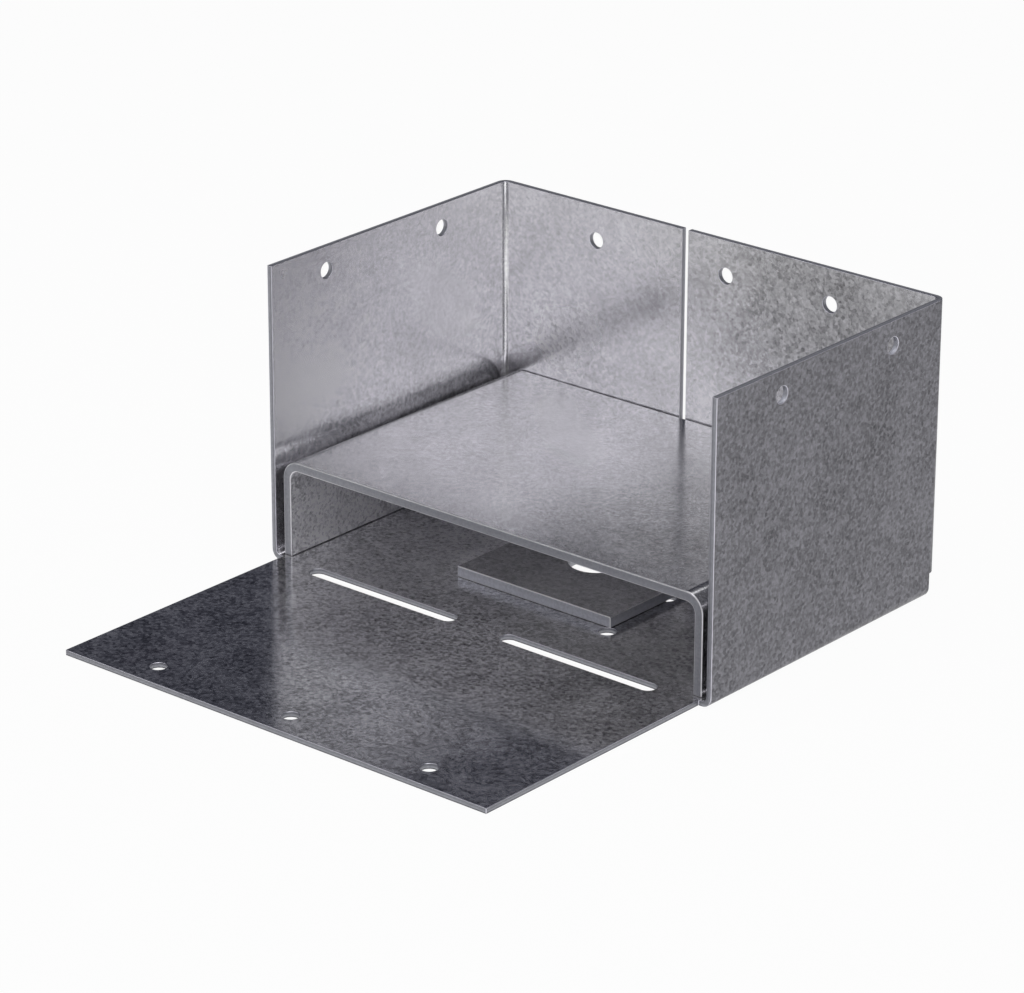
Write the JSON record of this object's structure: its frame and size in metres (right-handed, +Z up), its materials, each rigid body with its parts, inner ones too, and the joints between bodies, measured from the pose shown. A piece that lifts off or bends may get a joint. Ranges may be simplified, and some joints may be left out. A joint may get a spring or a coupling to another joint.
{
  "type": "timber post base",
  "caption": "Folded sheet-steel post base: open box with nail holes, folded standoff under the post's end and a loose square bearing plate over the anchor slot, front flap still flat.",
  "frame": {"origin": "anchor bolt's axis at the underside of the base, in the middle of the anchor slot", "axes": "+Z up; the side walls face -X and +X; the flat front flap reaches toward -Y and the back wall faces +Y"},
  "size_m": [0.1442, 0.1711, 0.0802],
  "materials": {
    "wrap_box": "continuously galvanised sheet, fine grey spangle, bare sheared edges",
    "standoff": "continuously galvanised thicker sheet, fine grey spangle",
    "bearing_plate": "galvanised sheared plate"
  },
  "bodies": {
    "root": {"wrap_box": "wrap_box", "standoff": "standoff", "bearing_plate": "bearing_plate"}
  },
  "joints": []
}
